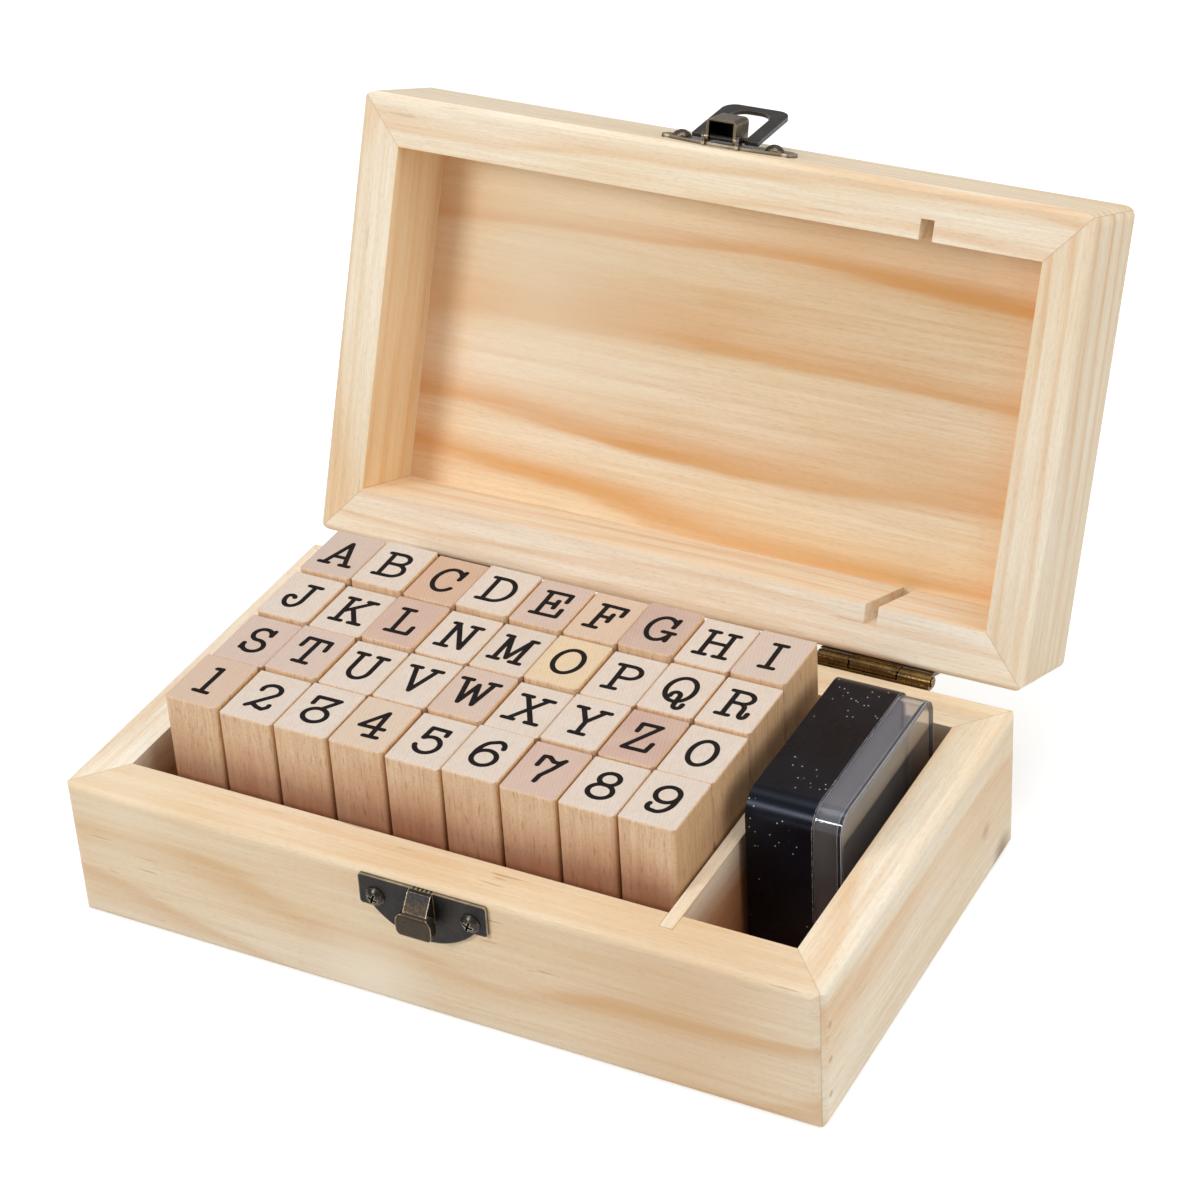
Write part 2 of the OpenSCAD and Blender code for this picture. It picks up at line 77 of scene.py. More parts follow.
class Shader:
    """Builds one material's nodes with short calls."""

    def __init__(self, name):
        self.mat = bpy.data.materials.new(name)
        self.mat.use_nodes = True
        self.tree = self.mat.node_tree
        self.tree.nodes.clear()
        self.out = self.add("ShaderNodeOutputMaterial")

    def add(self, kind, **props):
        node = self.tree.nodes.new(kind)
        for key, value in props.items():
            setattr(node, key, value)
        return node

    def link(self, a, b):
        self.tree.links.new(a, b)

    def put(self, socket, value):
        """Sets a socket to a number or colour, or links another socket to it."""
        if isinstance(value, bpy.types.NodeSocket):
            self.link(value, socket)
        else:
            socket.default_value = value

    def shade(self, colour):
        """A colour socket as it is, anything else as a colour value."""
        return colour if isinstance(colour, bpy.types.NodeSocket) else rgba(colour)

    def math(self, op, a, b=0.0, clamp=False):
        node = self.add("ShaderNodeMath", operation=op, use_clamp=clamp)
        self.put(node.inputs[0], a)
        self.put(node.inputs[1], b)
        return node.outputs[0]

    def place(self, turn=(0, 0, 0), move=(0, 0, 0)):
        """Object coordinates, turned and moved."""
        tex = self.add("ShaderNodeTexCoord")
        node = self.add("ShaderNodeMapping")
        node.inputs["Location"].default_value = move
        node.inputs["Rotation"].default_value = turn
        self.link(tex.outputs["Object"], node.inputs["Vector"])
        return node.outputs["Vector"]

    def closed(self, lid):
        """Coordinates in the closed box. Those of the lid are turned back about the hinge axis."""
        if not lid:
            return self.place()
        back = Matrix.Rotation(LID_ANGLE, 3, "X")
        axis = Vector((0, HINGE_Y, HINGE_Z))
        return self.place(turn=(LID_ANGLE, 0, 0), move=axis - back @ axis)

    def split(self, vector):
        node = self.add("ShaderNodeSeparateXYZ")
        self.link(vector, node.inputs[0])
        return node.outputs

    def facing(self, lid):
        """How far the surface faces outward from the front or back of the closed box, 0 to 1."""
        tex = self.add("ShaderNodeTexCoord")
        dot = self.add("ShaderNodeVectorMath", operation="DOT_PRODUCT")
        self.link(tex.outputs["Normal"], dot.inputs[0])
        turn = Matrix.Rotation(-LID_ANGLE if lid else 0.0, 3, "X")
        dot.inputs[1].default_value = turn @ Vector((0, -1, 0))
        return self.math("ABSOLUTE", dot.outputs["Value"])

    def stretch(self, vector, scale, move=(0, 0, 0)):
        """The vector scaled along each axis, then moved."""
        node = self.add("ShaderNodeMapping")
        node.inputs["Location"].default_value = move
        node.inputs["Scale"].default_value = scale
        self.link(vector, node.inputs["Vector"])
        return node.outputs["Vector"]

    def noise(self, vector, scale, detail=3.0, rough=0.5):
        node = self.add("ShaderNodeTexNoise")
        self.link(vector, node.inputs["Vector"])
        node.inputs["Scale"].default_value = scale
        node.inputs["Detail"].default_value = detail
        node.inputs["Roughness"].default_value = rough
        return node.outputs["Fac"]

    def ramp(self, value, stops):
        """Maps 0..1 to colours or greys. stops is a list of (position, colour)."""
        node = self.add("ShaderNodeValToRGB")
        ramp = node.color_ramp
        while len(ramp.elements) < len(stops):
            ramp.elements.new(0.5)
        for element, (where, colour) in zip(ramp.elements, stops):
            element.position = where
            element.color = rgba(colour)
        self.link(value, node.inputs[0])
        return node.outputs[0]

    def span(self, value, low, high, a=0.0, b=1.0):
        """Maps low..high to a..b, clamped."""
        node = self.add("ShaderNodeMapRange")
        self.put(node.inputs[0], value)
        for i, x in enumerate((low, high, a, b)):
            self.put(node.inputs[1 + i], x)
        return node.outputs[0]

    def mix(self, fac, a, b):
        """Colour a where fac is 0, colour b where it is 1."""
        node = self.add("ShaderNodeMix", data_type="RGBA", blend_type="MIX")
        self.put(node.inputs[0], fac)
        self.put(node.inputs[6], self.shade(a))
        self.put(node.inputs[7], self.shade(b))
        return node.outputs[2]

    def bump(self, height, depth, strength):
        """A normal that follows a height map. depth is the height of its full range."""
        node = self.add("ShaderNodeBump")
        node.inputs["Strength"].default_value = strength
        node.inputs["Distance"].default_value = depth
        self.link(height, node.inputs["Height"])
        return node.outputs["Normal"]

    def edges(self, radius, low=0.02, high=0.35):
        """1 on outer edges of the shape, 0 on its flats."""
        bevel = self.add("ShaderNodeBevel", samples=4)
        bevel.inputs["Radius"].default_value = radius
        geo = self.add("ShaderNodeNewGeometry")
        dot = self.add("ShaderNodeVectorMath", operation="DOT_PRODUCT")
        self.link(bevel.outputs["Normal"], dot.inputs[0])
        self.link(geo.outputs["Normal"], dot.inputs[1])
        turned = self.math("SUBTRACT", 1.0, dot.outputs["Value"])
        return self.span(turned, low, high)

    def surface(self, colour, rough, normal, **uniform):
        """The Principled shader. Values in uniform are the same all over the surface."""
        node = self.add("ShaderNodeBsdfPrincipled")
        self.put(node.inputs["Base Color"], self.shade(colour))
        self.put(node.inputs["Roughness"], rough)
        for key, value in uniform.items():
            self.put(node.inputs[key.replace("_", " ")], value)
        self.link(normal, node.inputs["Normal"])
        self.link(node.outputs[0], self.out.inputs["Surface"])
        return node


def srgb(text):
    """Linear colour from a hex string."""
    parts = [int(text[i:i + 2], 16) / 255 for i in (1, 3, 5)]
    return tuple(c / 12.92 if c <= 0.04045 else ((c + 0.055) / 1.055) ** 2.4 for c in parts)


def rgba(colour):
    if isinstance(colour, str):
        colour = srgb(colour)
    if isinstance(colour, (int, float)):
        colour = (colour,) * 3
    return (*colour[:3], 1.0)


def wear(node_name, material):
    """Gives a CAD node one material."""
    mesh = NODES[node_name].data
    mesh.materials.clear()
    mesh.materials.append(material)


# Pine of the box

GRAIN = {"X": (1, 0, 0), "Y": (0, 1, 0)}


def along_grain(axis, slow, fast):
    """Scale of a texture that is stretched along one axis."""
    return tuple(slow if k else fast for k in GRAIN[axis])


def mitre_seam(s, box):
    """1 in the thin seam where two boards meet at a corner."""
    x = s.math("SUBTRACT", s.math("ABSOLUTE", box["X"]), HALF_W - SIDE_WALL)
    y = s.math("SUBTRACT", s.math("ABSOLUTE", box["Y"]), HALF_D - LONG_WALL)
    size = math.hypot(SIDE_WALL, LONG_WALL)
    along_x = s.math("MULTIPLY", x, LONG_WALL / size)
    along_y = s.math("MULTIPLY", y, SIDE_WALL / size)
    off = s.math("SUBTRACT", along_x, along_y)
    return s.span(s.math("ABSOLUTE", off), 0.05 * MM, 0.16 * MM, 1.0, 0.0)


def spot(s, box, at, radius, soft):
    """1 inside a ball about a place of the closed box, fading to 0 over soft. All in mm."""
    total = 0.0
    for axis, centre in zip("XYZ", at):
        d = s.math("SUBTRACT", box[axis], centre * MM)
        total = s.math("ADD", s.math("MULTIPLY", d, d), total)
    return s.span(s.math("SQRT", total), (radius - soft) * MM, (radius + soft) * MM, 1.0, 0.0)


def inside(s, box):
    """1 on what faces the inside of the box, 0 elsewhere."""
    into_wall = 0.3 * MM
    skin = 0.5 * MM
    x = s.math("LESS_THAN", s.math("ABSOLUTE", box["X"]), HALF_W - SIDE_WALL + into_wall)
    y = s.math("LESS_THAN", s.math("ABSOLUTE", box["Y"]), HALF_D - LONG_WALL + into_wall)
    under_top = s.math("LESS_THAN", box["Z"], BOX_H - skin)
    over_bottom = s.math("GREATER_THAN", box["Z"], skin)
    return s.math("MULTIPLY", s.math("MULTIPLY", x, y), s.math("MULTIPLY", under_top, over_bottom))


# Strength of the late wood over one year ring, and the colours of fine marks in the wood.
YEAR = [(0.0, 0.30), (0.08, 0.05), (0.35, 0.0), (0.62, 0.28), (0.86, 1.0), (0.94, 0.9), (1.0, 0.30)]
FIBRE_TAN = "#d2a972"
THREAD_TAN = "#d8aa6c"
THREAD_PALE = "#fdf6e2"
GRIT_BROWN = "#bb8c58"
TICK_BROWN = "#a97d52"
SEAM_BROWN = "#a67a4c"

# How far the painted warm shade inside fades out, from the lid's ends and from the base's rim
# downward.
LID_FADE = 14 * MM
BASE_FADE = 10 * MM


def painted_inside_shade(s, box, lid):
    """How strong the painted warm shade is inside: low in the base, and toward the lid's ends."""
    if lid:
        end = HALF_W - SIDE_WALL
        fade = s.span(s.math("ABSOLUTE", box["X"]), end - LID_FADE, end, 0.06, 0.38)
    else:
        fade = s.span(box["Z"], BASE_H - BASE_FADE, BASE_H - MM, 0.75, 0.0)
    return s.math("MULTIPLY", inside(s, box), fade)


def pine(name, seed, along="X", lid=False, heart=(0.0, 0.0), ring=7.0, streak=0.6, sway=12.0,
         wave=7.0, light="#faf1df", mid="#f4e3c4", late="#dfa662", inside_shade="#f5cb8a", tick_shade=0.22,
         frame_board=True, marks=()):
    """Pale bare pine.

    Its year rings lie round a line along the board. heart is that line's place across the board,
    in mm in the closed box. ring is the rings' width in mm, sway how far they wander along the
    board in mm and wave how often per metre. streak is the strength of the late wood. light, mid
    and late are the colours of the wood, and tint is the colour of the painted warm shade inside.
    tick_shade is the strength of the short dark ticks. A frame board has mitred ends, and marks
    lists spots as place, radius, softness, colour and strength.
    """
    s = Shader(name)
    box_place = s.closed(lid)
    box = s.split(box_place)
    p = s.stretch(box_place, (1, 1, 1), (seed * 0.37, seed * 0.71, seed * 0.53))
    across = "YZ" if along == "X" else "XZ"

    wander = s.noise(s.stretch(p, along_grain(along, wave, 26)), 1.0, 2.0, 0.45)
    ripple = s.noise(s.stretch(p, along_grain(along, 30, 190)), 1.0, 2.0, 0.5)
    u = s.math("SUBTRACT", box[across[0]], heart[0] * MM)
    v = s.math("SUBTRACT", box[across[1]], heart[1] * MM)
    radius = s.math("SQRT", s.math("ADD", s.math("MULTIPLY", u, u), s.math("MULTIPLY", v, v)))
    shaken = s.math("ADD", radius, s.math("MULTIPLY", wander, sway * 2 * MM))
    shaken = s.math("ADD", shaken, s.math("MULTIPLY", ripple, 0.16 * ring * MM))
    year = s.math("FRACT", s.math("MULTIPLY", shaken, 1 / (ring * MM)))
    late_wood = s.ramp(year, YEAR)
    patch = s.noise(s.stretch(p, along_grain(along, 9, 45), (3, 1, 2)), 1.0, 2.0)
    patch = s.span(patch, 0.3, 0.7, 0.25, 1.0)
    depth = s.math("MULTIPLY", late_wood, s.math("MULTIPLY", patch, streak), clamp=True)

    cloud = s.span(s.noise(s.stretch(p, along_grain(along, 10, 40), (7, 5, 1)), 1.0, 3.0), 0.3, 0.7)
    colour = s.mix(depth, s.mix(cloud, light, mid), late)
    fibre = s.noise(s.stretch(p, along_grain(along, 60, 1900)), 1.0, 3.0, 0.6)
    thread = s.noise(s.stretch(p, along_grain(along, 16, 520)), 1.0, 3.0, 0.6)
    colour = s.mix(s.span(fibre, 0.35, 0.75, 0.0, 0.27), colour, FIBRE_TAN)
    colour = s.mix(s.span(thread, 0.45, 0.72, 0.0, 0.3), colour, THREAD_TAN)
    colour = s.mix(s.span(thread, 0.2, 0.42, 0.25, 0.0), colour, THREAD_PALE)
    grit = s.noise(s.stretch(p, along_grain(along, 600, 3900), (4, 4, 1)), 1.0, 1.0)
    colour = s.mix(s.span(grit, 0.5, 0.75, 0.0, 0.17), colour, GRIT_BROWN)
    tick = s.noise(s.stretch(p, along_grain(along, 90, 1300), (1, 4, 2)), 1.0, 0.0)
    region = s.noise(s.stretch(p, along_grain(along, 25, 60), (5, 2, 8)), 1.0, 1.0)
    ticks = s.math("MULTIPLY", s.span(tick, 0.74, 0.80), s.span(region, 0.45, 0.6))
    colour = s.mix(s.math("MULTIPLY", ticks, tick_shade), colour, TICK_BROWN)
    if frame_board:
        colour = s.mix(s.math("MULTIPLY", mitre_seam(s, box), 0.32), colour, SEAM_BROWN)
    # Painted warm shade on the faces inside the box.
    colour = s.mix(painted_inside_shade(s, box, lid), colour, inside_shade)
    for at, size, soft, shade, strength in marks:
        colour = s.mix(s.math("MULTIPLY", spot(s, box, at, size, soft), strength), colour, shade)
    rough = s.span(fibre, 0.2, 0.8, 0.5, 0.68)
    height = s.math("ADD", fibre, s.math("MULTIPLY", thread, 1.4))
    s.surface(colour, rough, s.bump(height, 0.025 * MM, 0.6), Specular_IOR_Level=0.3)
    return s.mat


# Marks on single boards, each with its place, radius, softness, colour and strength. On the
# right wall there are dents of the corner pins and brown patches toward its back, and on the
# front pale and dark figure. The lid's panel is paler at its left and yellower along its front.
DENTS = [((85, -46.6, z), 0.75, 0.25, "#b48a5c", 0.55) for z in (7, 15.5, 24)]
BROWN_PATCHES = [((85, 42, 1.5), 3.6, 2.2, "#8d7050", 0.7), ((85, 32.5, 13.5), 1.5, 1.2, "#b98f62", 0.5)]
FIGURE = [((-14, -50, 3), 10, 7, "#f8ecd8", 0.65), ((-70, -50, 28), 9, 8, "#f6e8d0", 0.35),
          ((55, -50, 20), 16, 14, "#cf9f68", 0.4)]
PANEL_TONES = [((-48, -14, 56), 24, 20, "#fbf2dc", 0.5), ((22, -42, 56), 16, 14, "#dca868", 0.4),
               ((55, -42, 56), 14, 12, "#dca868", 0.4)]

# Colour of the painted warm shade that the base's inside takes low down.
PAINTED_INSIDE_SHADE = "#c07a38"


def dress_base_boards():
    wear("front_wall", pine(
        "pine_front", 1, heart=(20, -70), ring=15, sway=30, light="#f2e4cd", mid="#e8d0ac",
        late="#d29c62", inside_shade=PAINTED_INSIDE_SHADE, tick_shade=0.6, marks=FIGURE))
    wear("back_wall", pine("pine_back", 2, heart=(90, 90), inside_shade=PAINTED_INSIDE_SHADE))
    wear("left_wall", pine(
        "pine_left", 3, "Y", heart=(-100, -60), streak=0.4, light="#fdf7ea", mid="#f8ecd4",
        inside_shade=PAINTED_INSIDE_SHADE))
    wear("right_wall", pine(
        "pine_right", 4, "Y", heart=(20, -20), ring=9, streak=0.5, inside_shade=PAINTED_INSIDE_SHADE, marks=DENTS + BROWN_PATCHES))
    wear("floor_panel", pine(
        "pine_floor", 5, heart=(10, -90), ring=9, inside_shade=PAINTED_INSIDE_SHADE, frame_board=False))
    wear("divider", pine(
        "pine_divider", 6, "Y", heart=(-30, -40), ring=5, inside_shade=PAINTED_INSIDE_SHADE, frame_board=False))


def dress_lid_boards():
    wear("lid_front_rail", pine(
        "pine_lid_front", 7, lid=True, heart=(-60, 5), ring=3.6, streak=0.5, sway=5))
    wear("lid_back_rail", pine(
        "pine_lid_back", 8, lid=True, heart=(100, 10), ring=5, streak=0.4, sway=8,
        light="#fdf7ea", mid="#f9edd6"))
    wear("lid_left_rail", pine(
        "pine_lid_left", 9, "Y", lid=True, heart=(-100, 90), sway=8))
    wear("lid_right_rail", pine(
        "pine_lid_right", 10, "Y", lid=True, heart=(40, 20), ring=4.4, streak=0.55, sway=5,
        light="#f9efdc", mid="#f0dfc2"))
    # The panel's inside gets a painted warm shade that is strongest toward its ends.
    wear("lid_panel", pine(
        "pine_lid_panel", 11, lid=True, heart=(-150, 30), ring=17, streak=0.95, sway=17, wave=4,
        light="#fbefd8", mid="#f2dcb4", late="#df9f54", inside_shade="#eea052", tick_shade=0.05,
        frame_board=False, marks=PANEL_TONES))


# Stamps

# Colours of the stamps' tops. A character that isn't listed has a pale top.
PALE = "#dcd0c4"
TAN = "#d6bca3"
GOLD = "#e2cba6"
TOP_COLOURS = {
    "A": "#cbb8ad", "C": "#cca78c", "E": "#cdb5a9", "F": TAN, "G": "#c2a599", "I": "#cfbdb2",
    "L": "#c9a99a", "M": "#d8cbbe", "O": GOLD, "S": "#cfb9ad", "T": "#d0bbb0", "W": "#cfb8ab",
    "Z": "#c5a396", "1": "#d2b7a2", "4": "#d8c3ad", "7": "#cdb0a3",
}


# Top of the rubber die, and the heights between which the painted shade on the sides fades from
# dark to pale.
DIE_TOP = 6.05 * MM
PAINTED_SHADE_LOW = 28 * MM
PAINTED_SHADE_HIGH = 44 * MM
PAINTED_SHADE_SWAY = 4 * MM


def beech(letter, index):
    """Wood of one stamp: pale flat top, warmer sides with painted shade that deepens downward,
    rubber die below.
    """
    s = Shader("beech_" + letter)
    seed = index * 1.7
    p = s.place(move=(seed, seed * 0.3, seed * 0.7))
    tex = s.add("ShaderNodeTexCoord")
    face = s.add("ShaderNodeSeparateXYZ")
    s.link(tex.outputs["Normal"], face.inputs[0])
    place = s.add("ShaderNodeSeparateXYZ")
    s.link(tex.outputs["Object"], place.inputs[0])
    upward = s.span(face.outputs["Z"], 0.6, 0.95)
    front = s.span(s.math("ABSOLUTE", face.outputs["Y"]), 0.4, 0.9)

    fleck = s.noise(s.stretch(p, (1400, 500, 900)), 1.0, 3.0, 0.6)
    cloud = s.noise(p, 160.0, 2.0)
    top = s.mix(s.span(cloud, 0.3, 0.7, 0.0, 0.35), TOP_COLOURS.get(letter, PALE), "#d8c2ae")
    top = s.mix(s.span(fleck, 0.45, 0.75, 0.0, 0.22), top, "#bfa08a")
    grit = s.noise(p, 2600.0, 2.0, 0.7)
    top = s.mix(s.span(grit, 0.48, 0.7, 0.0, 0.2), top, "#b89c86")
    saw = s.add("ShaderNodeTexWave", wave_type="RINGS", rings_direction="Z", wave_profile="SIN")
    s.link(s.stretch(p, (1, 1, 1), (seed * 0.05, 0.03, 0)), saw.inputs["Vector"])
    saw.inputs["Scale"].default_value = 420.0
    saw.inputs["Distortion"].default_value = 1.0
    top = s.mix(s.span(saw.outputs["Fac"], 0.55, 1.0, 0.0, 0.08), top, "#fff4e8")

    grain = s.noise(s.stretch(p, (900, 900, 35)), 1.0, 3.0, 0.6)
    warm = s.mix(front, "#e2be92", "#e8caa8")
    warm = s.mix(s.span(grain, 0.35, 0.75, 0.0, 0.4), warm, "#b67d4f")
    pore = s.noise(s.stretch(p, (2400, 2400, 260), (2, 5, 1)), 1.0, 1.0)
    warm = s.mix(s.span(pore, 0.6, 0.72, 0.0, 0.4), warm, "#8f5c38")
    warm = s.mix(s.span(s.noise(p, 1700.0, 2.0, 0.7), 0.45, 0.7, 0.0, 0.25), warm, "#b98658")
    # Painted shade: the sides turn darker and redder toward the bottom, darker still on the faces
    # that look left and right.
    tone = s.noise(s.stretch(p, (60, 60, 45), (seed, 3, 1)), 1.0, 2.0)
    height = s.math("ADD", place.outputs["Z"], s.span(tone, 0.3, 0.7, -PAINTED_SHADE_SWAY, PAINTED_SHADE_SWAY))
    low = s.span(height, PAINTED_SHADE_LOW, PAINTED_SHADE_HIGH, 0.68, 0.0)
    warm = s.mix(low, warm, s.mix(front, "#84502e", "#a8562c"))
    wood = s.mix(upward, warm, top)
    wood = s.mix(s.math("MULTIPLY", s.edges(0.3 * MM, 0.01, 0.2), 0.5), wood, "#c58a58")
    die = s.math("LESS_THAN", place.outputs["Z"], DIE_TOP)
    colour = s.mix(die, wood, "#6f5a7a")
    rough = s.span(fleck, 0.2, 0.8, 0.48, 0.66)
    normal = s.bump(s.math("ADD", fleck, grain), 0.015 * MM, 0.5)
    s.surface(colour, rough, normal, Specular_IOR_Level=0.3)
    return s.mat


# Characters: lists of stroke lines in a cell, x from -4 to 4 and y from 0 to GLYPH_UNITS.

GLYPH_UNITS = 9.0


def arc(cx, cy, rx, ry, a0, a1, steps=20):
    """Points of an elliptic arc, angles in degrees, counter-clockwise from +x."""
    points = []
    for i in range(steps + 1):
        a = math.radians(a0 + (a1 - a0) * i / steps)
        points.append((cx + rx * math.cos(a), cy + ry * math.sin(a)))
    return points


def foot(x, y, half):
    """A serif: a short level line about a point."""
    return [(x - half, y), (x + half, y)]


GLYPHS = {
    "A": [[(-2.7, 0), (0.0, 9.0)], [(0.0, 9.0), (2.7, 0)], [(-1.8, 3.0), (1.8, 3.0)],
          foot(-2.7, 0, 1.15), foot(2.7, 0, 1.15)],
    "B": [[(-2.0, 0), (-2.0, 9)], [(-3.3, 0), (0.6, 0)] + arc(0.6, 2.45, 2.6, 2.45, -90, 90)
          + [(-2.0, 4.9)], [(-3.0, 9), (0.4, 9)] + arc(0.4, 6.95, 2.2, 2.05, 90, -90)
          + [(-2.0, 4.9)]],
    "C": [arc(0.2, 4.5, 3.0, 4.5, 38, 322, 36), [(2.9, 8.8), (2.7, 5.6)]],
    "D": [[(-2.0, 0), (-2.0, 9)], [(-3.4, 0), (0.0, 0)] + arc(0.0, 4.5, 3.5, 4.5, -90, 90, 28)
          + [(-3.1, 9)]],
    "E": [[(-2.0, 0), (-2.0, 9)], [(-3.3, 0), (3.0, 0), (3.1, 3.0)],
          [(-3.0, 9), (2.9, 9), (2.8, 6.2)], [(-2.0, 4.6), (0.9, 4.6)], [(0.9, 6.1), (0.9, 3.1)]],
    "F": [[(-1.9, 0), (-1.9, 9)], foot(-1.9, 0, 1.5), [(-3.0, 9), (3.0, 9), (2.9, 6.2)],
          [(-1.9, 4.6), (0.9, 4.6)], [(0.9, 6.1), (0.9, 3.1)]],
    "G": [arc(0.0, 4.5, 3.0, 4.5, 42, 330, 36), [(2.6, 8.8), (2.4, 5.8)],
          [(0.9, 3.6), (3.7, 3.6)], [(2.8, 3.6), (2.8, 0.4)]],
    "H": [[(-2.4, 0), (-2.4, 9)], [(2.4, 0), (2.4, 9)], [(-2.4, 4.8), (2.4, 4.8)],
          foot(-2.4, 0, 1.35), foot(2.4, 0, 1.35), foot(-2.4, 9, 1.2), foot(2.4, 9, 1.2)],
    "I": [[(0, 0), (0, 9)], foot(0, 0, 1.6), foot(0, 9, 1.5)],
    "J": [[(1.2, 9), (1.2, 3.0)] + arc(-0.9, 3.0, 2.1, 3.0, 0, -180, 24)
          + arc(-2.0, 3.1, 1.0, 1.0, 180, 20, 10), foot(1.2, 9, 1.6)],
    "K": [[(-2.2, 0), (-2.2, 9)], [(3.0, 9), (-2.2, 3.6)], [(-0.4, 5.2), (2.8, 0)],
          foot(-2.2, 0, 1.4), foot(-2.2, 9, 1.2), foot(2.6, 0, 1.3), foot(2.7, 9, 1.1)],
    "L": [[(-1.3, 0), (-1.3, 9)], foot(-1.3, 9, 1.5), [(-2.8, 0), (2.6, 0), (2.8, 2.8)]],
    "M": [[(-2.6, 0), (-2.6, 9)], [(2.6, 0), (2.6, 9)], [(-2.6, 9), (0, 1.0), (2.6, 9)],
          foot(-2.7, 0, 1.2), foot(2.7, 0, 1.2), [(-3.8, 9), (-2.4, 9)], [(2.4, 9), (3.8, 9)]],
    "N": [[(-2.3, 0), (-2.3, 9)], [(2.3, 9), (2.3, 0.2)], [(-2.3, 9), (2.3, 0.2)],
          foot(-2.3, 0, 1.4), [(-3.4, 9), (-2.1, 9)], foot(2.3, 9, 1.3)],
    "O": [arc(0, 4.5, 3.2, 4.5, 0, 360, 44)],
    "P": [[(-1.8, 0), (-1.8, 9)], foot(-1.8, 0, 1.5), [(-3.0, 9), (0.4, 9)]
          + arc(0.4, 6.7, 2.5, 2.3, 90, -90) + [(-1.8, 4.4)]],
    "Q": [arc(0, 4.5, 3.2, 4.5, 0, 360, 44), arc(-0.2, 1.9, 1.1, 1.5, 190, 10, 12)
          + [(0.9, 0.6), (1.0, -0.6)] + arc(1.9, -1.0, 0.9, 1.2, 180, 360, 12) + [(2.8, -0.4)]],
    "R": [[(-2.0, 0), (-2.0, 9)], foot(-2.0, 0, 1.4), [(-3.2, 9), (0.2, 9)]
          + arc(0.2, 6.95, 2.2, 2.05, 90, -90) + [(-2.0, 4.9)], [(0.0, 4.9)]
          + arc(0.2, 3.2, 1.5, 1.7, 85, 0, 8) + arc(2.4, 1.2, 0.75, 1.2, 180, 360, 12)
          + [(3.2, 1.9)]],
    "S": [arc(0, 6.7, 2.1, 2.2, 20, 250, 24) + arc(0.1, 2.3, 2.4, 2.3, 75, -160, 24),
          [(2.2, 8.8), (2.1, 6.9)], [(-2.4, 0.9), (-2.3, 2.6)]],
    "T": [[(0, 0), (0, 9)], foot(0, 0, 1.7), [(-3.1, 5.8), (-2.9, 9), (2.9, 9), (3.1, 5.8)]],
    "U": [[(-2.4, 9), (-2.4, 3.0)] + arc(0, 3.0, 2.4, 3.0, 180, 360, 24) + [(2.4, 9)],
          foot(-2.5, 9, 1.3), foot(2.5, 9, 1.3)],
    "V": [[(-2.6, 9), (0, 0.3), (2.6, 9)], foot(-2.6, 9, 1.2), foot(2.6, 9, 1.2)],
    "W": [[(-3.2, 9), (-1.7, 0.4), (0, 7.6), (1.7, 0.4), (3.2, 9)], foot(-3.3, 9, 1.2),
          foot(3.3, 9, 1.2)],
    "X": [[(-2.8, 0), (2.6, 9)], [(-2.6, 9), (2.8, 0)], foot(-2.8, 0, 1.3), foot(2.8, 0, 1.3),
          foot(-2.6, 9, 1.2), foot(2.6, 9, 1.2)],
    "Y": [[(-2.7, 9), (0, 4.4), (2.7, 9)], [(0, 4.4), (0, 0)], foot(0, 0, 1.6),
          foot(-2.8, 9, 1.1), foot(2.8, 9, 1.1)],
    "Z": [[(-2.3, 6.2), (-2.2, 9), (2.3, 9), (-2.9, 0), (2.4, 0), (2.8, 2.9)]],
    "0": [arc(0, 4.5, 2.8, 4.4, 0, 360, 44)],
    "1": [[(0, 0), (0, 9)], foot(0, 0, 1.7), [(-1.3, 8.8), (0, 9)]],
    "2": [[(-2.2, 6.6)] + arc(0, 6.9, 2.3, 2.1, 165, -30, 22)
          + [(-2.6, 0.4), (-1.5, 1.4), (0.2, 0.5), (1.6, 0.2), (2.5, 1.2), (2.5, 2.0)]],
    "3": [[(-2.7, 6.3), (-2.6, 8.8), (2.9, 8.8), (0.2, 4.9)]
          + arc(0, 2.4, 2.7, 2.5, 80, -262, 34)],
    "4": [[(1.2, 0), (1.2, 9), (-2.9, 3.2), (2.9, 3.2)], foot(1.2, 0, 1.6)],
    "5": [[(2.2, 7.2), (2.2, 8.8), (-1.9, 8.8), (-2.1, 5.0)]
          + arc(0.0, 2.9, 2.7, 2.9, 135, -165, 28)],
    "6": [[(2.5, 6.9)] + arc(0.9, 6.9, 1.6, 2.0, 10, 110, 10)
          + arc(0.3, 3.6, 3.0, 5.0, 120, 180, 10) + arc(0.0, 2.7, 2.7, 2.7, 180, 540, 36)],
    "7": [[(-2.6, 5.6), (-2.4, 8.9), (-1.2, 9.0), (0.3, 7.7), (1.6, 7.7), (2.6, 8.8),
           (1.0, 5.0), (-0.4, 2.4), (-0.6, 0.2)]],
    "8": [arc(0, 6.8, 2.2, 2.1, 0, 360, 32), arc(0, 2.4, 2.7, 2.4, 0, 360, 34)],
    "9": [arc(0.0, 6.2, 2.6, 2.7, 0, 360, 36), [(2.6, 6.2)] + arc(-0.2, 4.4, 2.8, 4.3, 0, -90, 12)
          + arc(-1.2, 1.6, 1.2, 1.4, 250, 150, 8)],
}

# Width of a stroke and step of the grid in glyph units, a character's height on the stamp, and
# how far the ink stands above the wood.
STROKE = 1.2
CELL = 0.14
GLYPH_HEIGHT = 8.4 * MM
INK_PROUD = 0.02 * MM


def stroke_distance(strokes, x, y):
    """Distance from a point to the nearest stroke line, in glyph units."""
    best = math.inf
    for line in strokes:
        for (ax, ay), (bx, by) in zip(line, line[1:]):
            dx, dy = bx - ax, by - ay
            length = dx * dx + dy * dy
            t = 0.0 if length == 0 else ((x - ax) * dx + (y - ay) * dy) / length
            t = max(0.0, min(1.0, t))
            best = min(best, math.hypot(x - ax - t * dx, y - ay - t * dy))
    return best


